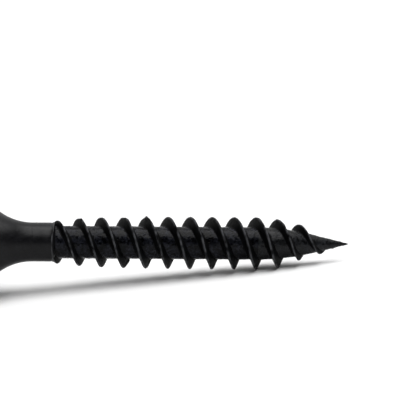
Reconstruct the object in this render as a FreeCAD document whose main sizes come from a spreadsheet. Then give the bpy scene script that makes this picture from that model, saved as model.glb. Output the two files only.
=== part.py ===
"""Bugle-head screw, 3.5 x 25 mm, with a cross recess and a twin-start right-hand thread.

The screw lies along +X: the centre of the head's top face is the origin, and the point is at
overall_length on +X. The real screw is one piece of steel wire, so its zones are rigid with each
other. Each zone is a solid of its own, named for how it is formed: the head (upset in a die), the
plain shank, the core with its two thread flights (rolled) and the point (pinched).
"""

import FreeCAD
import Part
import Sketcher
import math
import os

Vector = FreeCAD.Vector
doc = FreeCAD.newDocument("wood_screw")

# The driving dimensions, in millimetres and degrees. Each is set by itself.
SIZES = {
    # overall
    "overall_length": 25.0,
    "head_diameter": 7.5,
    "shank_diameter": 2.6,
    "thread_diameter": 3.5,
    # the head: a short rim, then a flare that is an arc tangent to the shank
    "rim_thickness": 0.45,
    "rim_rounding": 0.12,
    "flare_angle": 70.5,
    # the cross recess: two tapered slots and a round web in the middle
    "slot_span": 4.6,
    "slot_span_below": 2.3,
    "slot_width": 1.25,
    "slot_width_below": 0.95,
    "slot_depth": 2.3,
    "web_diameter": 2.3,
    "web_diameter_below": 1.8,
    "web_floor_angle": 21.0,
    # the plain shank, and the shoulder that steps it down to the rolled core
    "shank_length": 1.36,
    "root_depth": 0.215,
    "shoulder_angle": 60.0,
    # the point: an ogive tangent to the core, then a straight cone
    "cone_angle": 13.8,
    "ogive_radius": 15.7,
    "tip_diameter": 0.08,
    # the two thread flights, and how deep they run into the core before they are trimmed
    "thread_lead": 2.95,
    "flank_angle": 18.5,
    "crest_width": 0.05,
    "first_flight_angle": 48.1,
    "flight_overlap": 0.12,
    # how the flights rise out of the shank's end, and fade before the tip
    "run_in_length": 0.2,
    "first_crest_rise": 0.1,
    "growth_length": 2.5,
    "full_height_to_tip": 6.0,
    "last_flight_to_tip": 1.1,
    "flight_stagger": 1.35,
}

# Places and sizes that follow from the driving ones.
DERIVED = {
    "head_radius": "sizes.head_diameter / 2",
    "shank_radius": "sizes.shank_diameter / 2",
    "core_radius": "shank_radius - sizes.root_depth",
    "tip_radius": "sizes.tip_diameter / 2",
    "flare_radius": "(head_radius - shank_radius) / (1 - cos(sizes.flare_angle))",
    "shank_start": "sizes.rim_thickness + flare_radius * sin(sizes.flare_angle)",
    "shank_end": "shank_start + sizes.shank_length",
    "core_start": "shank_end + sizes.root_depth / tan(sizes.shoulder_angle)",
    "cone_length": "(core_radius - tip_radius) / tan(sizes.cone_angle)",
    "ogive_tangent": "sizes.ogive_radius * tan(sizes.cone_angle / 2)",
    "point_start": "sizes.overall_length - cone_length - ogive_tangent",
    "core_length": "point_start - core_start",
    "cone_start": "point_start + sizes.ogive_radius * sin(sizes.cone_angle)",
    "cone_radius": "core_radius - sizes.ogive_radius * (1 - cos(sizes.cone_angle))",
    "web_radius": "sizes.web_diameter / 2",
    "web_radius_below": "sizes.web_diameter_below / 2",
    "recess_bottom": "sizes.slot_depth + web_radius_below * tan(sizes.web_floor_angle)",
}


def fill_sheet(name, cells):
    """A spreadsheet with one row for each cell: its alias in column A, what it holds in B."""
    sheet = doc.addObject("Spreadsheet::Sheet", name)
    for row, (alias, content) in enumerate(cells.items(), start=1):
        sheet.set(f"A{row}", alias)
        sheet.set(f"B{row}", content)
        sheet.setAlias(f"B{row}", alias)
    doc.recompute()
    return sheet


sizes = fill_sheet("sizes", {alias: str(number) for alias, number in SIZES.items()})
places = fill_sheet("places", {alias: f"={formula}" for alias, formula in DERIVED.items()})


def cell(alias):
    """The cell with this alias, as an expression names it."""
    return f"sizes.{alias}" if alias in SIZES else f"places.{alias}"


def value(alias):
    """The number in the cell with this alias. A bare 0 stands for itself."""
    if alias == 0:
        return 0.0
    return float(getattr(sizes if alias in SIZES else places, alias))


# ------------------------------------------------------------------------- bodies and sketches
# How a sketch's constraints name the points of a side, and the sketch's own origin and axes.

START, END, CENTRE = 1, 2, 3
X_AXIS, Y_AXIS = -1, -2
ORIGIN = (-1, 1)


def new_body(label):
    """An empty body. Its label names the solid's file."""
    body = doc.addObject("PartDesign::Body", label)
    body.Label = label
    return body


def new_sketch(body, name, role, offset=0):
    """A sketch on the origin plane of a body with this role, moved out along its normal."""
    sketch = body.newObject("Sketcher::SketchObject", name)
    plane = next(plane for plane in body.Origin.OriginFeatures if plane.Role == role)
    sketch.AttachmentSupport = [(plane, "")]
    sketch.MapMode = "FlatFace"
    if offset:
        sketch.setExpression(".AttachmentOffset.Base.z", cell(offset))
    return sketch


def dimension(sketch, kind, *where, alias):
    """A dimension of a sketch that follows a cell."""
    index = sketch.addConstraint(Sketcher.Constraint(kind, *where, value(alias)))
    sketch.setExpression(f"Constraints[{index}]", cell(alias))


def arc_between(start, end, radius):
    """The arc that runs counterclockwise from start to end and turns less than half a circle."""
    chord = end - start
    to_left = Vector(-chord.y, chord.x, 0).normalize()
    centre = (start + end) / 2 + to_left * math.sqrt(radius**2 - (chord.Length / 2) ** 2)
    angles = [math.atan2(p.y - centre.y, p.x - centre.x) % (2 * math.pi) for p in (start, end)]
    return Part.ArcOfCircle(Part.Circle(centre, Vector(0, 0, 1), radius), *angles)


def half_profile(sketch, corners, arc=None):
    """A closed ring of sides on one side of the sketch's X axis, to be turned about that axis.

    Each corner is an (x, radius) pair of aliases, with 0 for the axis or the origin. arc is
    (index, alias): the side that leaves that corner is an arc with that radius, and it runs
    counterclockwise.
    """
    points = [Vector(value(x), value(radius), 0) for x, radius in corners]
    for index, start in enumerate(points):
        end = points[(index + 1) % len(points)]
        if arc and index == arc[0]:
            sketch.addGeometry(arc_between(start, end, value(arc[1])))
        else:
            sketch.addGeometry(Part.LineSegment(start, end))
    for index, (x, radius) in enumerate(corners):
        following = (index + 1) % len(corners)
        sketch.addConstraint(Sketcher.Constraint("Coincident", index, END, following, START))
        for kind, alias, axis in (("DistanceX", x, Y_AXIS), ("DistanceY", radius, X_AXIS)):
            if alias:
                dimension(sketch, kind, *ORIGIN, index, START, alias=alias)
            else:
                sketch.addConstraint(Sketcher.Constraint("PointOnObject", index, START, axis))
    if arc:
        dimension(sketch, "Radius", arc[0], alias=arc[1])


def centred_rectangle(sketch, width, height):
    """A rectangle about the sketch's origin. width and height are aliases."""
    half_width, half_height = value(width) / 2, value(height) / 2
    signs = ((-1, -1), (1, -1), (1, 1), (-1, 1))
    corners = [Vector(x * half_width, y * half_height, 0) for x, y in signs]
    for index, start in enumerate(corners):
        sketch.addGeometry(Part.LineSegment(start, corners[(index + 1) % 4]))
    for index in range(4):
        following = (index + 1) % 4
        direction = "Vertical" if index % 2 else "Horizontal"
        sketch.addConstraint(Sketcher.Constraint("Coincident", index, END, following, START))
        sketch.addConstraint(Sketcher.Constraint(direction, index))
    sketch.addConstraint(Sketcher.Constraint("Symmetric", 0, START, 2, START, *ORIGIN))
    dimension(sketch, "DistanceX", 0, START, 0, END, alias=width)
    dimension(sketch, "DistanceY", 1, START, 1, END, alias=height)


def turned(body, name, feature, corners, arc=None):
    """A full turn about the screw's axis: feature is Revolution to add, or Groove to cut."""
    sketch = new_sketch(body, f"{name}_profile", "XY_Plane")
    half_profile(sketch, corners, arc)
    turn = body.newObject(f"PartDesign::{feature}", name)
    turn.Profile = sketch
    turn.ReferenceAxis = (sketch, ["H_Axis"])
    turn.Angle = 360
    doc.recompute()
    return turn


# ----------------------------------------------------------------------------------- the head
# Upset cold from the wire between a die with the bugle's flare and a punch with the cross.

def make_head():
    head = new_body("head")
    blank = turned(
        head,
        "head_blank",
        "Revolution",
        [
            (0, 0),
            (0, "head_radius"),
            ("rim_thickness", "head_radius"),
            ("shank_start", "shank_radius"),
            ("shank_start", 0),
        ],
        arc=(2, "flare_radius"),
    )
    rim = head.newObject("PartDesign::Fillet", "rim_rounded")
    rim.Base = (blank, rim_edges(blank.Shape))
    rim.setExpression("Radius", cell("rim_rounding"))
    doc.recompute()

    mouth = new_sketch(head, "slot_mouth", "YZ_Plane")
    centred_rectangle(mouth, "slot_span", "slot_width")
    below = new_sketch(head, "slot_below", "YZ_Plane", offset="slot_depth")
    centred_rectangle(below, "slot_span_below", "slot_width_below")
    slot = head.newObject("PartDesign::SubtractiveLoft", "slot")
    slot.Profile = mouth
    slot.Sections = [below]
    doc.recompute()
    cross = head.newObject("PartDesign::PolarPattern", "cross")
    cross.Originals = [slot]
    cross.Axis = (mouth, ["N_Axis"])
    cross.Angle = 90
    cross.Occurrences = 2
    head.Tip = cross
    doc.recompute()
    turned(
        head,
        "web",
        "Groove",
        [
            (0, 0),
            (0, "web_radius"),
            ("slot_depth", "web_radius_below"),
            ("recess_bottom", 0),
        ],
    )
    return head


SAME_RADIUS_WITHIN = 1e-6


def rim_edges(shape):
    """The names of the rim's two round edges."""
    names = []
    for index, edge in enumerate(shape.Edges, start=1):
        is_round = isinstance(edge.Curve, Part.Circle)
        if is_round and abs(edge.Curve.Radius - value("head_radius")) < SAME_RADIUS_WITHIN:
            names.append(f"Edge{index}")
    return names


# ---------------------------------------------------------------------------------- the shank
# The wire as it came, at its blank diameter, with the shoulder that the rolling dies leave.

def make_shank():
    shank = new_body("shank")
    turned(
        shank,
        "shank_turn",
        "Revolution",
        [
            ("shank_start", 0),
            ("shank_start", "shank_radius"),
            ("shank_end", "shank_radius"),
            ("core_start", "core_radius"),
            ("core_start", 0),
        ],
    )
    return shank


# ----------------------------------------------------------------------------------- the core
# What is left in the middle after the dies press the roots in and push the flights up.

def make_core():
    core = new_body("core")
    section = new_sketch(core, "core_section", "YZ_Plane", offset="core_start")
    section.addGeometry(Part.Circle(Vector(0, 0, 0), Vector(0, 0, 1), value("core_radius")))
    section.addConstraint(Sketcher.Constraint("Coincident", 0, CENTRE, *ORIGIN))
    dimension(section, "Radius", 0, alias="core_radius")
    bar = core.newObject("PartDesign::Pad", "core_bar")
    bar.Profile = section
    bar.setExpression("Length", cell("core_length"))
    doc.recompute()
    return core


# ---------------------------------------------------------------------------------- the point
# Pinched from the wire's end: an ogive that leaves the core smoothly, then a cone.

def make_point():
    point = new_body("point")
    turned(
        point,
        "point_turn",
        "Revolution",
        [
            ("overall_length", 0),
            ("overall_length", "tip_radius"),
            ("cone_start", "cone_radius"),
            ("point_start", "core_radius"),
            ("point_start", 0),
        ],
        arc=(2, "ogive_radius"),
    )
    return point


# --------------------------------------------------------------------------- the thread flights
# Two right-hand ridges, half a turn apart, pushed up by the rolling dies. A ridge is lofted through
# sections in planes that hold the screw's axis, then trimmed to the solids that it stands on.

# How many sections a turn has.
SECTIONS_PER_TURN = 24
# How late the height is lost on the way to the tip: 1 would fade it evenly, more keeps it longer.
FADE_POWER = 2.2
# How far a ridge is carried on, as a share of its fade, so that it ends under the surface.
SUNK_PAST_END = 1.05
# From the first start round to the second, in degrees.
BETWEEN_STARTS = 180


def surface_radius(x):
    """The radius of the core, or of the point, at a place along the screw."""
    past_core = x - value("point_start")
    if past_core <= 0:
        return value("core_radius")
    if x <= value("cone_start"):
        ogive = value("ogive_radius")
        return value("core_radius") - ogive + math.sqrt(ogive**2 - past_core**2)
    slope = math.tan(math.radians(value("cone_angle")))
    return value("cone_radius") - (x - value("cone_start")) * slope


def crest_radius(x, end_to_tip):
    """The radius of a flight's crest, which sinks below the surface at both of its ends."""
    past_shank = x - value("shank_end")
    first_crest = value("shank_radius") + value("first_crest_rise")
    if past_shank < 0:
        hidden = value("shank_radius") - value("flight_overlap")
        return first_crest + (first_crest - hidden) * past_shank / value("run_in_length")
    to_grow = value("thread_diameter") / 2 - first_crest
    grown = first_crest + to_grow * (1 - math.exp(-past_shank / value("growth_length")))
    height = grown - value("core_radius")
    to_tip = value("overall_length") - x
    fading = (value("full_height_to_tip") - to_tip) / (value("full_height_to_tip") - end_to_tip)
    return surface_radius(x) + height * (1 - max(fading, 0) ** FADE_POWER)


def flight_section(x, angle, end_to_tip):
    """A closed wire across a flight: wide at its base, below the surface, narrow at its crest."""
    base = surface_radius(x) - value("flight_overlap")
    crest = crest_radius(x, end_to_tip)
    half_crest = value("crest_width") / 2
    half_base = half_crest + (crest - base) * math.tan(math.radians(value("flank_angle")))
    outline = ((-half_base, base), (-half_crest, crest), (half_crest, crest), (half_base, base))
    points = [
        Vector(x + along, radius * math.cos(angle), radius * math.sin(angle))
        for along, radius in outline
    ]
    return Part.makePolygon(points + points[:1])


def make_flight(label, first_angle, end_to_tip, neighbours):
    """One flight. first_angle is where it crosses the shank's end, from +Y towards +Z."""
    start = value("shank_end") - value("run_in_length")
    fade_length = value("full_height_to_tip") - end_to_tip
    end = value("overall_length") - value("full_height_to_tip") + fade_length * SUNK_PAST_END
    steps = math.ceil((end - start) / value("thread_lead") * SECTIONS_PER_TURN)
    sections = []
    for step in range(steps + 1):
        x = start + (end - start) * step / steps
        turns = (x - value("shank_end")) / value("thread_lead")
        angle = math.radians(first_angle) + 2 * math.pi * turns
        sections.append(flight_section(x, angle, end_to_tip))
    ridge = Part.makeLoft(sections, True, True)
    flight = doc.addObject("Part::Feature", label)
    flight.Label = label
    flight.Shape = ridge.cut([body.Shape for body in neighbours])
    flight.Placement = FreeCAD.Placement()
    return flight


# ------------------------------------------------------------------------- the whole and its files

head = make_head()
shank = make_shank()
core = make_core()
point = make_point()
stands_on = (shank, core, point)
last_end = value("last_flight_to_tip")
first_end = last_end + value("flight_stagger")
first_angle = value("first_flight_angle")
thread_start_1 = make_flight("thread_start_1", first_angle, first_end, stands_on)
thread_start_2 = make_flight("thread_start_2", first_angle + BETWEEN_STARTS, last_end, stands_on)
doc.recompute()

for thing in doc.Objects:
    if "Invalid" in thing.State or "Error" in thing.State:
        raise RuntimeError(f"{thing.Name} failed: {thing.State}")

os.makedirs("parts", exist_ok=True)
for piece in (head, shank, core, point, thread_start_1, thread_start_2):
    if piece.Shape.isNull() or not piece.Shape.isValid():
        raise RuntimeError(f"{piece.Label} has no valid shape")
    piece.Shape.exportStep(f"parts/{piece.Label}.step")
    box = piece.Shape.optimalBoundingBox(False, False)
    print(f"{piece.Label}: {piece.Shape.Volume:.4f} mm3, x {box.XMin:.3f} to {box.XMax:.3f}")
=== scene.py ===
import bmesh
import bpy
import math
from mathutils import Matrix, Vector, noise


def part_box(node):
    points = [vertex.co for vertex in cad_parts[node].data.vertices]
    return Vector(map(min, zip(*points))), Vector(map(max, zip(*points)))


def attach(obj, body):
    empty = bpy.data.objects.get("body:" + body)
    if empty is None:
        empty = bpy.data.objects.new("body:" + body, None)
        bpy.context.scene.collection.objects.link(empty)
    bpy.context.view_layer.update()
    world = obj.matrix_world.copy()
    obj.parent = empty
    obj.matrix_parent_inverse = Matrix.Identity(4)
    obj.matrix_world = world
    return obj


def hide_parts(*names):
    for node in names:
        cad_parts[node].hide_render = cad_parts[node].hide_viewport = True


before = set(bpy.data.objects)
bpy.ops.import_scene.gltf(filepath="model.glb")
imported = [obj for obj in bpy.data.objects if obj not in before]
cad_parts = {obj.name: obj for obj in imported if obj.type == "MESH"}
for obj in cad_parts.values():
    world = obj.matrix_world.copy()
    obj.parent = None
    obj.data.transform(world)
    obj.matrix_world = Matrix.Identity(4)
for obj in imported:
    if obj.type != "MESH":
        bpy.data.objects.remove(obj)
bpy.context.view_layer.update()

# ------------------------------------------------------------------------------------- the head
# A bugle head of low-carbon steel, upset cold from the wire in two blows. The die gives the flare
# and the short rim, and the punch gives the flat top and the cross recess for the driver.

MM = 0.001
AXIS = (1, 0, 0)
ORIGIN = (0, 0, 0)
RIM_ROUNDING = 0.12 * MM
FLARE_ANGLE = math.radians(70.5)
# The recess narrows on its way down: spans, widths and radii are at the mouth and at the floor.
SLOT_SPANS = (4.6 * MM, 2.3 * MM)
SLOT_WIDTHS = (1.25 * MM, 0.95 * MM)
SLOT_DEPTH = 2.3 * MM
WEB_RADII = (1.15 * MM, 0.9 * MM)
WEB_FLOOR_ANGLE = math.radians(21)
WING_CORNER = 0.16 * MM
RECESS_ROUNDING = 0.045 * MM
# Between these depths below the top face lie the rounded edges of the rim and the recess.
EDGE_LOW, EDGE_HIGH = 0.004 * MM, 0.1 * MM
# How far they are rubbed on the whole, how much that swings, and how wide the rubbed places are.
EDGE_WEAR, EDGE_WEAR_SWING, EDGE_WEAR_WIDTH = 0.7, 1.0, 0.5 * MM
TURN_STEPS = 192
# Few enough that a side of the flare is longer than the rim's rounding.
FLARE_STEPS = 24
SHARP_ANGLE = math.radians(40)
# Points nearer than this are one point, after a turn and in a profile.
TURN_MERGE = 0.0002 * MM
PROFILE_MERGE = 0.002 * MM
# The widths of the patches in the phosphate. A crystal is only some micrometres long, so what
# shows is clumps of them.
BLOTCH_WIDTH = 0.6 * MM
CLUMP_WIDTH = 0.16 * MM


def clamp(number):
    """The number, kept between 0 and 1."""
    return min(max(number, 0), 1)


def wear_and_sheen_share(spot, mean, swing, width):
    """How far an edge is rubbed at a spot, from 0 to 1, in patches of this width. On the shank's lip
    and the thread crests the same share also lays on a painted highlight.
    """
    return clamp(mean + swing * noise.noise(spot / width))


def linear(hex_colour):
    """An sRGB colour written as rrggbb, as linear red, green and blue with full alpha."""
    shares = [int(hex_colour[place : place + 2], 16) / 255 for place in (0, 2, 4)]
    return [s / 12.92 if s <= 0.04045 else ((s + 0.055) / 1.055) ** 2.4 for s in shares] + [1]


def add_node(tree, kind, settings=None, links=None):
    """Adds a shader node with its properties and inputs set, and its inputs linked."""
    node = tree.nodes.new(kind)
    for name, setting in (settings or {}).items():
        if isinstance(name, int) or name in node.inputs:
            node.inputs[name].default_value = setting
        else:
            setattr(node, name, setting)
    for name, socket in (links or {}).items():
        tree.links.new(socket, node.inputs[name])
    return node


def noise_node(tree, place, width, detail):
    """Noise in patches of this width, whose values lie mostly between 0.35 and 0.65."""
    return add_node(
        tree, "ShaderNodeTexNoise", {"Scale": 1 / width, "Detail": detail}, {"Vector": place}
    ).outputs["Fac"]


def empty_tree(block):
    """The node tree of a material or a world, with nothing in it."""
    block.use_nodes = True
    block.node_tree.nodes.clear()
    return block.node_tree


def phosphate(name, sparse, dense, oiled, dry, index, grain_depth, rubbed_and_sheen=None):
    """Zinc phosphate, dyed black and oiled: matt crystals under a film that fills most of them.

    sparse and dense are the colours where the crystals stand apart and close, oiled and dry the
    roughness there. index is the coating's own: oil on porous salt gives back less light than
    either alone. rubbed_and_sheen is the colour and roughness of edges that other screws have
    rubbed;
    on the shank's lip and the thread crests its paler colour is also a painted highlight.
    """
    material = bpy.data.materials.new(name)
    tree = empty_tree(material)
    place = add_node(tree, "ShaderNodeTexCoord").outputs["Object"]
    blotches = noise_node(tree, place, BLOTCH_WIDTH, detail=3.0)
    clumps = noise_node(tree, place, CLUMP_WIDTH, detail=4.0)
    cover = add_node(
        tree, "ShaderNodeMapRange", {"From Min": 0.35, "From Max": 0.65}, {"Value": blotches}
    ).outputs["Result"]
    speckle = add_node(
        tree, "ShaderNodeMapRange", {"From Min": 0.35, "From Max": 0.7}, {"Value": clumps}
    ).outputs["Result"]
    patchy = add_node(
        tree, "ShaderNodeMath", {"operation": "MULTIPLY"}, {0: cover, 1: speckle}
    ).outputs["Value"]
    colour = add_node(
        tree,
        "ShaderNodeMix",
        {"data_type": "RGBA", 6: linear(sparse), 7: linear(dense)},
        {"Factor": patchy},
    ).outputs[2]
    roughness = add_node(
        tree, "ShaderNodeMapRange", {"To Min": oiled, "To Max": dry}, {"Value": speckle}
    ).outputs["Result"]
    if rubbed_and_sheen:
        rubbed_and_sheen_colour, rubbed_roughness = rubbed_and_sheen
        wear_and_sheen = add_node(
            tree, "ShaderNodeAttribute", {"attribute_name": "rubbed_and_sheen"}
        ).outputs["Fac"]
        colour = add_node(
            tree,
            "ShaderNodeMix",
            {"data_type": "RGBA", 7: linear(rubbed_and_sheen_colour)},
            {"Factor": wear_and_sheen, 6: colour},
        ).outputs[2]
        roughness = add_node(
            tree,
            "ShaderNodeMapRange",
            {"To Max": rubbed_roughness},
            {"Value": wear_and_sheen, "To Min": roughness},
        ).outputs["Result"]
    bump = add_node(
        tree, "ShaderNodeBump", {"Strength": 1.0, "Distance": grain_depth}, {"Height": clumps}
    ).outputs["Normal"]
    shader = add_node(
        tree,
        "ShaderNodeBsdfPrincipled",
        {"Metallic": 0.0, "IOR": index},
        {"Base Color": colour, "Roughness": roughness, "Normal": bump},
    ).outputs["BSDF"]
    add_node(tree, "ShaderNodeOutputMaterial", links={"Surface": shader})
    return material


def open_chain(mesh, corners):
    """A chain of edges through (x, radius) corners, in the plane that the profile is drawn in."""
    points = [mesh.verts.new((x, radius, 0)) for x, radius in corners]
    for start, end in zip(points, points[1:]):
        mesh.edges.new((start, end))
    return points


def arc(mesh, start, centre_radius, angle, steps):
    """An arc of the profile, which leaves its start along the axis.

    Its centre is as far along the screw as the start is. From a centre outside the start the arc
    bends out towards the head, and from one inside it bends in towards the point.
    """
    x, radius = start
    bmesh.ops.spin(
        mesh,
        geom=[mesh.verts.new((x, radius, 0))],
        cent=(x, centre_radius, 0),
        axis=(0, 0, 1),
        dvec=ORIGIN,
        angle=-angle,
        steps=steps,
    )


def rounded(mesh, corners, radius, segments, affect="VERTICES"):
    """Rounds corners of a profile, or edges of a solid, off by this much."""
    bmesh.ops.bevel(
        mesh,
        geom=corners,
        offset=radius,
        offset_type="OFFSET",
        segments=segments,
        profile=0.5,
        affect=affect,
        material=-1,
    )


def turned(mesh):
    """Turns the profile once round the screw's axis, and closes its ends."""
    bmesh.ops.spin(
        mesh,
        geom=mesh.verts[:] + mesh.edges[:],
        cent=ORIGIN,
        axis=AXIS,
        dvec=ORIGIN,
        angle=math.tau,
        steps=TURN_STEPS,
        use_merge=True,
    )
    bmesh.ops.remove_doubles(mesh, verts=mesh.verts, dist=TURN_MERGE)
    close_ends(mesh)


def close_ends(mesh):
    """Fills the open ends of a turned or wound mesh."""
    bmesh.ops.holes_fill(mesh, edges=[edge for edge in mesh.edges if edge.is_boundary])


def add_object(name, data):
    """An object at the origin that shows a mesh, a light or a camera."""
    thing = bpy.data.objects.new(name, data)
    bpy.context.scene.collection.objects.link(thing)
    return thing


def mesh_object(name, mesh):
    """An object that shows this mesh, which is freed."""
    data = bpy.data.meshes.new(name)
    mesh.to_mesh(data)
    mesh.free()
    return add_object(name, data)


def finish_piece(mesh, name, material, stands_for):
    """Makes the mesh an object that rides on the screw's one body and stands for a CAD node."""
    bmesh.ops.recalc_face_normals(mesh, faces=mesh.faces)
    for face in mesh.faces:
        face.smooth = True
    for edge in mesh.edges:
        edge.smooth = edge.calc_face_angle(0) < SHARP_ANGLE
    piece = mesh_object(name, mesh)
    piece.data.materials.append(material)
    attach(piece, "root")
    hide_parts(stands_for)


def wing_punch(name, turn):
    """A bar across the recess that narrows on its way down, with its upright corners rounded."""
    mesh = bmesh.new()
    bmesh.ops.create_cube(mesh, size=1)
    for corner in mesh.verts:
        corner.co.x = math.copysign(SLOT_DEPTH, corner.co.x)
        # 0 at the floor, 1 at the mouth, and 2 as far again above it.
        rise = (SLOT_DEPTH - corner.co.x) / SLOT_DEPTH
        span = SLOT_SPANS[1] + (SLOT_SPANS[0] - SLOT_SPANS[1]) * rise
        width = SLOT_WIDTHS[1] + (SLOT_WIDTHS[0] - SLOT_WIDTHS[1]) * rise
        corner.co.y = math.copysign(span / 2, corner.co.y)
        corner.co.z = math.copysign(width / 2, corner.co.z)
    upright = [e for e in mesh.edges if abs(e.verts[0].co.x - e.verts[1].co.x) > SLOT_DEPTH]
    rounded(mesh, upright, WING_CORNER, segments=5, affect="EDGES")
    bmesh.ops.rotate(mesh, verts=mesh.verts, cent=ORIGIN, matrix=Matrix.Rotation(turn, 3, "X"))
    return mesh_object(name, mesh)


def web_punch():
    """The cone in the middle of the punch, with its blunt nose."""
    mesh = bmesh.new()
    above = -SLOT_DEPTH
    radius_above = 2 * WEB_RADII[0] - WEB_RADII[1]
    nose = SLOT_DEPTH + WEB_RADII[1] * math.tan(WEB_FLOOR_ANGLE)
    open_chain(mesh, [(above, 0), (above, radius_above), (SLOT_DEPTH, WEB_RADII[1]), (nose, 0)])
    turned(mesh)
    bmesh.ops.recalc_face_normals(mesh, faces=mesh.faces)
    return mesh_object("web_punch", mesh)


head_low, head_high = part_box("head")
head_end = head_high.x
# The CAD's rim is made of short flats, so its box is a little wider one way than another.
head_radius = min(head_high.y, head_high.z, -head_low.y, -head_low.z)
shank_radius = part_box("shank")[1].z
flare_radius = (head_radius - shank_radius) / (1 - math.cos(FLARE_ANGLE))

blank = bmesh.new()
rim_edge = (head_end - flare_radius * math.sin(FLARE_ANGLE), head_radius)
# The first corner only gives the rim's rounding an edge to run on to.
corners = open_chain(blank, [(0, head_radius / 2), (0, head_radius), rim_edge])
arc(blank, (head_end, shank_radius), shank_radius + flare_radius, FLARE_ANGLE, FLARE_STEPS)
bmesh.ops.remove_doubles(blank, verts=blank.verts, dist=PROFILE_MERGE)
rim_corners = [corner for corner in blank.verts if corner.co.y > head_radius - PROFILE_MERGE]
rounded(blank, rim_corners, RIM_ROUNDING, segments=6)
blank.verts.remove(corners[0])
turned(blank)
bmesh.ops.recalc_face_normals(blank, faces=blank.faces)
upset = mesh_object("head_blank", blank)
punches = [wing_punch("wing_punch", 0), wing_punch("cross_wing_punch", math.pi / 2), web_punch()]
for punch in punches:
    cut = upset.modifiers.new(punch.name, "BOOLEAN")
    cut.operation = "DIFFERENCE"
    cut.solver = "EXACT"
    cut.object = punch
rounding = upset.modifiers.new("recess_rounding", "BEVEL")
rounding.limit_method = "ANGLE"
rounding.angle_limit = SHARP_ANGLE
rounding.width = RECESS_ROUNDING
rounding.segments = 3
bpy.context.view_layer.update()
punched = upset.evaluated_get(bpy.context.evaluated_depsgraph_get()).to_mesh()
head = bmesh.new()
head.from_mesh(punched)
for used in [upset, *punches]:
    bpy.data.objects.remove(used)
rubbed_and_sheen = head.verts.layers.float.new("rubbed_and_sheen")
for point in head.verts:
    on_rim = math.hypot(point.co.y, point.co.z) > head_radius - EDGE_LOW
    if on_rim or EDGE_LOW < point.co.x < EDGE_HIGH:
        point[rubbed_and_sheen] = wear_and_sheen_share(point.co, EDGE_WEAR, EDGE_WEAR_SWING, EDGE_WEAR_WIDTH)

# Black phosphate on die-formed steel: the die leaves the flare smooth, so the crystals lie close
# and even, and it looks satin.
formed_phosphate = phosphate(
    "black_zinc_phosphate_on_formed_steel",
    sparse="0b0b0d",
    dense="161619",
    oiled=0.3,
    dry=0.44,
    index=1.25,
    grain_depth=0.004 * MM,
    # The paler colour of rubbed edges. On the head's rim and recess it is wear. On the shank's lip
    # it is partly wear and partly a painted highlight.
    rubbed_and_sheen=("48494c", 0.4),
)
finish_piece(head, "bugle_head", formed_phosphate, "head")

# ------------------------------------------------------------------------------------ the shank
# The wire as it was drawn, between the head and the thread. It keeps its own diameter, and the
# rolling dies leave a low lip where they start to press the steel down to the core.

PLAIN_END = 5.29 * MM
LIP_HEIGHT = 0.03 * MM
LIP_LENGTH = 0.12 * MM
LIP_CUTS = 5
GROOVE_DEPTH = 0.014 * MM
# How far the lip is rubbed and painted with a highlight, and the share of its height above which it
# is.
LIP_WEAR_AND_SHEEN = 0.6
LIP_RUBBED_AND_SHEEN_FROM = 0.1
# The dies don't start square to the axis: twice a turn the lip swings this far along the shank.
DIE_START_SWING = 0.085 * MM
DIE_START_ANGLE = math.radians(175)
DIE_START_FADE = 0.9 * MM

shank_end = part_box("shank")[1].x
core_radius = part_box("core")[1].z
wire = bmesh.new()
open_chain(
    wire,
    [
        (head_end, shank_radius),
        (PLAIN_END - 2 * LIP_LENGTH, shank_radius),
        (PLAIN_END - 1.3 * LIP_LENGTH, shank_radius - GROOVE_DEPTH),
        (PLAIN_END - LIP_LENGTH / 2, shank_radius + LIP_HEIGHT),
        (PLAIN_END, shank_radius - GROOVE_DEPTH),
        (shank_end, core_radius),
    ],
)
bmesh.ops.subdivide_edges(wire, edges=wire.edges[:], cuts=LIP_CUTS)
turned(wire)
rubbed_and_sheen = wire.verts.layers.float.new("rubbed_and_sheen")
for point in wire.verts:
    # The lip's top is painted paler: partly rubbed, partly a painted highlight where the raised edge
    # catches the light.
    if math.hypot(point.co.y, point.co.z) > shank_radius + LIP_RUBBED_AND_SHEEN_FROM * LIP_HEIGHT:
        point[rubbed_and_sheen] = wear_and_sheen_share(point.co, LIP_WEAR_AND_SHEEN, EDGE_WEAR_SWING, EDGE_WEAR_WIDTH)
    angle = math.atan2(point.co.z, point.co.y)
    swing = -DIE_START_SWING * math.cos(2 * (angle - DIE_START_ANGLE))
    if point.co.x > PLAIN_END:
        share = (shank_end - point.co.x) / (shank_end - PLAIN_END)
    else:
        share = max(0, 1 - (PLAIN_END - point.co.x) / DIE_START_FADE)
    point.co.x += swing * share
finish_piece(wire, "plain_shank", formed_phosphate, "shank")

# ------------------------------------------------------------------------------------- the core
# The steel that is left between the ridges once the dies have rolled the roots down. The dies
# burnish it and leave small laps and pits, which the phosphate doesn't fill.

DENT_DEPTH, DENT_WIDTH = 0.02 * MM, 0.34 * MM
# The finer pits, as shares of the dents' width and depth.
PIT_WIDTH_SHARE, PIT_DEPTH_SHARE = 0.35, 0.5
# Nearer the axis than this a point stays, so that the tip and the ends' middles keep their place.
SMOOTH_RADIUS = 0.1 * MM
CORE_CUTS = 300


def roughened(mesh):
    """Moves each point out or in along its radius: broad dents, and finer pits in them."""
    for point in mesh.verts:
        radial = Vector((0, point.co.y, point.co.z))
        if radial.length > SMOOTH_RADIUS:
            dents = noise.noise(point.co / DENT_WIDTH)
            pits = noise.noise(point.co / (PIT_WIDTH_SHARE * DENT_WIDTH))
            point.co += radial.normalized() * DENT_DEPTH * (dents + PIT_DEPTH_SHARE * pits)


core_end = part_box("core")[1].x
rolled = bmesh.new()
open_chain(rolled, [(shank_end, core_radius), (core_end, core_radius)])
bmesh.ops.subdivide_edges(rolled, edges=rolled.edges[:], cuts=CORE_CUTS)
turned(rolled)
roughened(rolled)
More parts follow.
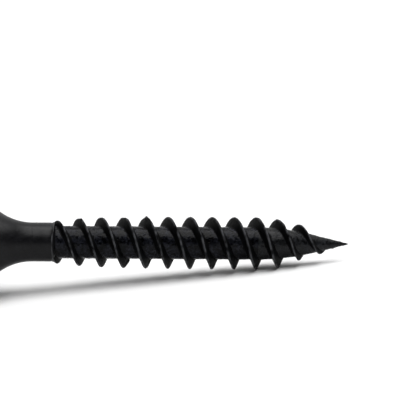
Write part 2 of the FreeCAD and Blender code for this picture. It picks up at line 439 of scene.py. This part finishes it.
# Black phosphate on burnished roots: few crystals take on them, so oil shows between the clumps.
rolled_phosphate = phosphate(
    "black_zinc_phosphate_on_rolled_steel",
    sparse="010102",
    dense="272931",
    oiled=0.12,
    dry=0.34,
    index=1.17,
    grain_depth=0.018 * MM,
)
finish_piece(rolled, "rolled_core", rolled_phosphate, "core")

# ------------------------------------------------------------------------------------ the point
# The end of the wire, pinched between the dies into an ogive and a sharp cone, so that the screw
# starts in wood or board with no hole drilled for it.

CONE_ANGLE = math.radians(13.8)
OGIVE_RADIUS = 15.7 * MM
OGIVE_STEPS = 40
TIP_RADIUS = 0.04 * MM
TIP_ROUNDING = 0.025 * MM
# The cone's side is the one long edge of the profile, and is cut finely enough for its dents.
LONG_SIDE = 0.5 * MM
CONE_CUTS = 80
BURR_PLACE = Vector((24 * MM, 0, -0.3 * MM))
BURR_WIDTH = 0.08 * MM
BURR_HEIGHT = 0.04 * MM

screw_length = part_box("point")[1].x
cone_start = core_end + OGIVE_RADIUS * math.sin(CONE_ANGLE)
cone_radius = core_radius - OGIVE_RADIUS * (1 - math.cos(CONE_ANGLE))
pinched = bmesh.new()
arc(pinched, (core_end, core_radius), core_radius - OGIVE_RADIUS, CONE_ANGLE, OGIVE_STEPS)
cone_side = open_chain(
    pinched, [(cone_start, cone_radius), (screw_length, TIP_RADIUS), (screw_length, 0)]
)
rounded(pinched, [cone_side[1]], TIP_ROUNDING, segments=4)
long_sides = [edge for edge in pinched.edges if edge.calc_length() > LONG_SIDE]
bmesh.ops.subdivide_edges(pinched, edges=long_sides, cuts=CONE_CUTS)
bmesh.ops.remove_doubles(pinched, verts=pinched.verts, dist=PROFILE_MERGE)
turned(pinched)
roughened(pinched)
for point in pinched.verts:
    from_burr = (point.co - BURR_PLACE).length / BURR_WIDTH
    radial = Vector((0, point.co.y, point.co.z))
    if radial.length > TIP_RADIUS:
        point.co += radial.normalized() * BURR_HEIGHT * math.exp(-(from_burr**2))
# Black phosphate on pinched steel: torn a little rougher than the core, so it holds more crystals.
pinched_phosphate = phosphate(
    "black_zinc_phosphate_on_pinched_steel",
    sparse="08090a",
    dense="26282c",
    oiled=0.22,
    dry=0.5,
    index=1.24,
    grain_depth=0.016 * MM,
)
finish_piece(pinched, "pinched_point", pinched_phosphate, "point")

# --------------------------------------------------------------------------- the thread flights
# Two right-hand ridges, half a turn apart, pushed up from the wire as the dies press the roots
# down. Their crests are sharp and a little ragged. Their paler colour is partly rubbed on by the
# other screws in the box and partly a painted highlight.

THREAD_RADIUS = 1.75 * MM
THREAD_LEAD = 2.95 * MM
FLANK_ANGLE = math.radians(18.5)
SHORTEST_FLANK = 0.3 * MM
FLANK_CUTS = 4
HALF_CREST = 0.04 * MM
CREST_ROUNDING = 0.036 * MM
ROOT_ROUNDING = 0.09 * MM
# Past its root each flank runs on as an apron just under the core's surface, down to a foot.
ROOT_APRON = 0.16 * MM
APRON_DIP = 0.012 * MM
FOOT_DEPTH = 0.1 * MM
# The ridge comes up out of the shank over the run-in, and grows towards its full height.
THREAD_START = 5.277 * MM
FIRST_ANGLE = math.radians(48.1)
RUN_IN = 0.2 * MM
SUNK_AT_START = 0.12 * MM
FIRST_CREST_RISE = 0.1 * MM
GROWTH_LENGTH = 2.5 * MM
# It fades out on the point, and the second flight ends nearer the tip than the first.
FADE_LENGTH = 6.0 * MM
FADE_POWER = 2.2
FIRST_END_TO_TIP = 2.45 * MM
SECOND_END_TO_TIP = 1.1 * MM
STEPS_PER_TURN = 180
# One short length of ridge is spun, and then copied up the screw until there are this many.
LENGTHS = 16
LENGTH_MERGE = 0.0005 * MM
# The crest is ragged, coarsely and with a share of finer nicks, and the ridge sways a little along
# the screw. Both grow towards the crest.
RAGGED = 0.016 * MM
COARSE_WIDTH, FINE_WIDTH, SWAY_WIDTH = 0.3 * MM, 0.12 * MM, 0.4 * MM
FINE_SHARE = 0.5
# Other screws rub the ridge from the first share of its height up, and fully the second above that.
# The crest's painted highlight rises over the same shares.
RUBBED_AND_SHEEN_FROM, RUBBED_AND_SHEEN_OVER = 0.8, 0.12
CREST_WEAR_AND_SHEEN, CREST_WEAR_AND_SHEEN_SWING, CREST_WEAR_AND_SHEEN_WIDTH = 0.6, 1.2, 0.3 * MM
# Where a crest was pinched or struck, in millimetres: place along the screw, reach each way along
# the ridge, how far the steel is moved out, and how far towards the point. Last is the share of
# the ridge's height that the blow is on.
FIRST_KNOCKS = (
    (8.28, 0.12, 0.06, -0.02, 1.0),
    (10.07, 0.07, 0.0, 0.12, 0.35),
    (11.32, 0.08, -0.03, 0.0, 1.0),
    (11.47, 0.04, 0.06, -0.02, 1.0),
    (20.27, 0.06, 0.02, -0.07, 1.0),
    (20.57, 0.06, 0.05, 0.0, 1.0),
)
SECOND_KNOCKS = (
    (6.82, 0.12, 0.05, -0.02, 1.0),
    (7.12, 0.05, 0.05, 0.0, 1.0),
    (9.97, 0.07, -0.04, 0.0, 1.0),
    (10.22, 0.07, 0.06, 0.0, 1.0),
    (11.5, 0.05, 0.0, -0.12, 0.3),
)
KNOCK_SPREAD = 0.4
full_height = THREAD_RADIUS - core_radius


def surface_radius(x):
    """The radius of the core, or of the point, at a place along the screw."""
    if x <= core_end:
        return core_radius
    if x <= cone_start:
        return core_radius - OGIVE_RADIUS + math.sqrt(OGIVE_RADIUS**2 - (x - core_end) ** 2)
    return cone_radius - (x - cone_start) * math.tan(CONE_ANGLE)


def crest_radius(x, end_to_tip):
    """The radius of a flight's crest at a place along the screw."""
    past_start = x - THREAD_START
    first_crest = shank_radius + FIRST_CREST_RISE
    if past_start < 0:
        return first_crest + (FIRST_CREST_RISE + SUNK_AT_START) * past_start / RUN_IN
    grown = first_crest + (THREAD_RADIUS - first_crest) * (1 - math.exp(-past_start / GROWTH_LENGTH))
    fading = (FADE_LENGTH - (screw_length - x)) / (FADE_LENGTH - end_to_tip)
    return surface_radius(x) + (grown - core_radius) * (1 - max(fading, 0) ** FADE_POWER)


def ridge_section():
    """A ridge's section at full height, on the plane of the profile, with the core at height 0."""
    mesh = bmesh.new()
    half_base = HALF_CREST + full_height * math.tan(FLANK_ANGLE)
    side = [
        (half_base + ROOT_APRON, -FOOT_DEPTH),
        (half_base + ROOT_APRON, -APRON_DIP),
        (half_base, 0),
        (HALF_CREST, full_height),
    ]
    section = open_chain(mesh, side + [(-along, height) for along, height in reversed(side)])
    mesh.edges.new((section[-1], section[0]))
    roots, crest = [section[2], section[5]], section[3:5]
    rounded(mesh, roots, ROOT_ROUNDING, segments=5)
    rounded(mesh, crest, CREST_ROUNDING, segments=4)
    flanks = [
        edge
        for edge in mesh.edges
        if edge.calc_length() > SHORTEST_FLANK and edge.verts[0].co.y + edge.verts[1].co.y > 0
    ]
    bmesh.ops.subdivide_edges(mesh, edges=flanks, cuts=FLANK_CUTS)
    return mesh


def wind(mesh, first_angle, end_to_tip):
    """Winds the section up the screw, as a ridge of even height, and closes its ends."""
    start = THREAD_START - RUN_IN
    turns = (screw_length - end_to_tip - start) / THREAD_LEAD
    steps = round(turns * STEPS_PER_TURN / LENGTHS)
    at_start = Matrix.Rotation(first_angle - math.tau * RUN_IN / THREAD_LEAD, 3, "X")
    bmesh.ops.translate(mesh, verts=mesh.verts, vec=(start, core_radius, 0))
    bmesh.ops.rotate(mesh, verts=mesh.verts, cent=ORIGIN, matrix=at_start)
    bmesh.ops.spin(
        mesh,
        geom=mesh.verts[:] + mesh.edges[:],
        cent=ORIGIN,
        axis=AXIS,
        dvec=(THREAD_LEAD * turns / LENGTHS / steps, 0, 0),
        angle=math.tau * turns / LENGTHS,
        steps=steps,
    )
    first_length = mesh.verts[:] + mesh.edges[:] + mesh.faces[:]
    for number in range(1, LENGTHS):
        wound = turns * number / LENGTHS
        copied = bmesh.ops.duplicate(mesh, geom=first_length)["geom"]
        points = [item for item in copied if isinstance(item, bmesh.types.BMVert)]
        to_place = Matrix.Rotation(math.tau * wound, 3, "X")
        bmesh.ops.rotate(mesh, verts=points, cent=ORIGIN, matrix=to_place)
        bmesh.ops.translate(mesh, verts=points, vec=(THREAD_LEAD * wound, 0, 0))
    bmesh.ops.remove_doubles(mesh, verts=mesh.verts, dist=LENGTH_MERGE)
    close_ends(mesh)


def flight(name, first_angle, end_to_tip, knocks, stands_for):
    """One ridge: its section at full height, wound up the screw and then fitted to each place."""
    mesh = ridge_section()
    along = mesh.verts.layers.float.new("along")
    height = mesh.verts.layers.float.new("height")
    for point in mesh.verts:
        point[along], point[height] = point.co.x, point.co.y
    wind(mesh, first_angle, end_to_tip)

    rubbed_and_sheen = mesh.verts.layers.float.new("rubbed_and_sheen")
    for point in mesh.verts:
        station = point.co.x - point[along]
        outward = Vector((0, point.co.y, point.co.z)).normalized()
        scale = max(crest_radius(station, end_to_tip) - surface_radius(station), 0) / full_height
        share = clamp(point[height] / full_height)
        # A low ridge is nearly as wide as a full one: the dies fill its crest last.
        x = station + point[along] * math.sqrt(scale)
        radius = point[height] * scale
        radius += surface_radius(station) * share + surface_radius(x) * (1 - share)
        spot = Vector((x, 0, 0)) + outward * radius
        ragged = noise.noise(spot / COARSE_WIDTH) + FINE_SHARE * noise.noise(spot / FINE_WIDTH)
        radius += RAGGED * ragged * share**3 * scale
        x += RAGGED * noise.noise(spot / SWAY_WIDTH) * share * scale
        for place, reach, outward_by, forward_by, at_share in knocks:
            off_place = (station - place * MM) / (reach * MM)
            off_share = (share - at_share) / KNOCK_SPREAD
            force = math.exp(-(off_place**2 + off_share**2))
            radius += outward_by * MM * force
            x += forward_by * MM * force
        point.co = Vector((x, 0, 0)) + outward * radius
        # The crest's paler colour is partly rubbed wear and partly a painted highlight.
        wear_and_sheen = wear_and_sheen_share(spot, CREST_WEAR_AND_SHEEN, CREST_WEAR_AND_SHEEN_SWING, CREST_WEAR_AND_SHEEN_WIDTH)
        point[rubbed_and_sheen] = clamp((share - RUBBED_AND_SHEEN_FROM) / RUBBED_AND_SHEEN_OVER) * wear_and_sheen
    finish_piece(mesh, name, crest_phosphate, stands_for)


# Black phosphate on the ridges: dry and dull on the flanks, rubbed to a pale satin on the crests,
# whose paler colour is also a painted highlight.
crest_phosphate = phosphate(
    "black_zinc_phosphate_with_rubbed_and_highlighted_crests",
    sparse="020202",
    dense="0e0f12",
    oiled=0.54,
    dry=0.74,
    index=1.15,
    grain_depth=0.008 * MM,
    # The crests' paler colour: partly rubbed, partly a painted highlight.
    rubbed_and_sheen=("48494c", 0.42),
)
second_angle = FIRST_ANGLE + math.pi
flight("first_flight", FIRST_ANGLE, FIRST_END_TO_TIP, FIRST_KNOCKS, "thread_start_1")
flight("second_flight", second_angle, SECOND_END_TO_TIP, SECOND_KNOCKS, "thread_start_2")

# ------------------------------------------------------------------------------------ the floor
# A sheet of white paper under the screw, which lies on its head's rim and on one thread crest, so
# that its axis comes down towards the point. Past the point the paper runs level with the axis.

REST_PLACE = Vector((18.9 * MM, 0, -1.745 * MM))
PAPER_REACH = 300 * MM
LEVEL_FROM = 30 * MM

rim_foot = Vector((rim_edge[0], 0, -head_radius))
lean = REST_PLACE - rim_foot
sheet = bmesh.new()
# A grid of three columns, at -1, 0 and 1: the paper's low end, its bend and its level end.
bmesh.ops.create_grid(sheet, x_segments=2, y_segments=1, size=1)
for corner in sheet.verts:
    corner.co.x = (-PAPER_REACH, LEVEL_FROM, PAPER_REACH)[1 + round(corner.co.x)]
    corner.co.y *= PAPER_REACH
    corner.co.z = rim_foot.z + (min(corner.co.x, LEVEL_FROM) - rim_foot.x) * lean.z / lean.x
paper = mesh_object("paper", sheet)
# Uncoated white paper, which scatters light evenly.
paper_white = bpy.data.materials.new("matt_white_paper")
tree = empty_tree(paper_white)
matt = add_node(tree, "ShaderNodeBsdfDiffuse", {"Color": linear("eaeaea")}).outputs["BSDF"]
add_node(tree, "ShaderNodeOutputMaterial", links={"Surface": matt})
paper.data.materials.append(paper_white)

# ----------------------------------------------------------------------------------- the lights
# One long softbox overhead and a weak card at the point end, which lights the flare, in a studio
# that is bright behind the screw and dim in front of it. Places are in metres, powers in watts.

SOFTBOX_SIZE = (0.7, 1.2)
SOFTBOX_PLACE = (0.015, -0.19, 1.0)
SOFTBOX_POWER = 12.2
CARD_SIZE = 0.6
CARD_PLACE = Vector((0.9, 0.1, 0.75))
CARD_POWER = 3.8
# The studio's brightness rises from dim to bright between these shares of the way back.
DIM_UP_TO, BRIGHT_FROM = -0.2, 0.5
DIM, BRIGHT = 0.05, 0.88

softbox = bpy.data.lights.new("softbox", "AREA")
softbox.shape = "RECTANGLE"
softbox.size, softbox.size_y = SOFTBOX_SIZE
softbox.energy = SOFTBOX_POWER
add_object("softbox", softbox).location = SOFTBOX_PLACE

card = bpy.data.lights.new("side_card", "AREA")
card.size = CARD_SIZE
card.energy = CARD_POWER
card_stand = add_object("side_card", card)
card_stand.location = CARD_PLACE
card_stand.rotation_euler = (-CARD_PLACE).to_track_quat("-Z", "Y").to_euler()

studio = bpy.data.worlds.new("studio")
tree = empty_tree(studio)
direction = add_node(tree, "ShaderNodeTexCoord").outputs["Generated"]
parts = add_node(tree, "ShaderNodeSeparateXYZ", links={"Vector": direction}).outputs
brightness = add_node(
    tree,
    "ShaderNodeMapRange",
    {"From Min": DIM_UP_TO, "From Max": BRIGHT_FROM, "To Min": DIM, "To Max": BRIGHT},
    {"Value": parts["Y"]},
).outputs["Result"]
glow = add_node(
    tree, "ShaderNodeBackground", {"Color": (1, 1, 1, 1)}, {"Strength": brightness}
).outputs["Background"]
add_node(tree, "ShaderNodeOutputWorld", links={"Surface": glow})
bpy.context.scene.world = studio

# ----------------------------------------------------------------------------------- the camera
# A long lens close to the side of the screw, a little above it and a little towards the head.

AZIMUTH, ELEVATION, ROLL = math.radians(-5.5), math.radians(10), math.radians(1.43)
DISTANCE = 155.6 * MM
AIM_ALONG, AIM_ABOVE = 15.72 * MM, 2.21 * MM

lens = bpy.data.cameras.new("long_lens")
lens.lens = 200
lens.sensor_width = 36
lens.clip_start, lens.clip_end = 0.01, 10
camera = add_object("camera", lens)
turn = (
    Matrix.Rotation(AZIMUTH, 3, "Z")
    @ Matrix.Rotation(math.pi / 2 - ELEVATION, 3, "X")
    @ Matrix.Rotation(ROLL, 3, "Z")
)
camera.rotation_euler = turn.to_euler()
camera.location = Vector((AIM_ALONG, 0, 0)) + turn @ Vector((0, AIM_ABOVE, DISTANCE))
bpy.context.scene.camera = camera
bpy.context.scene.view_settings.view_transform = "Standard"
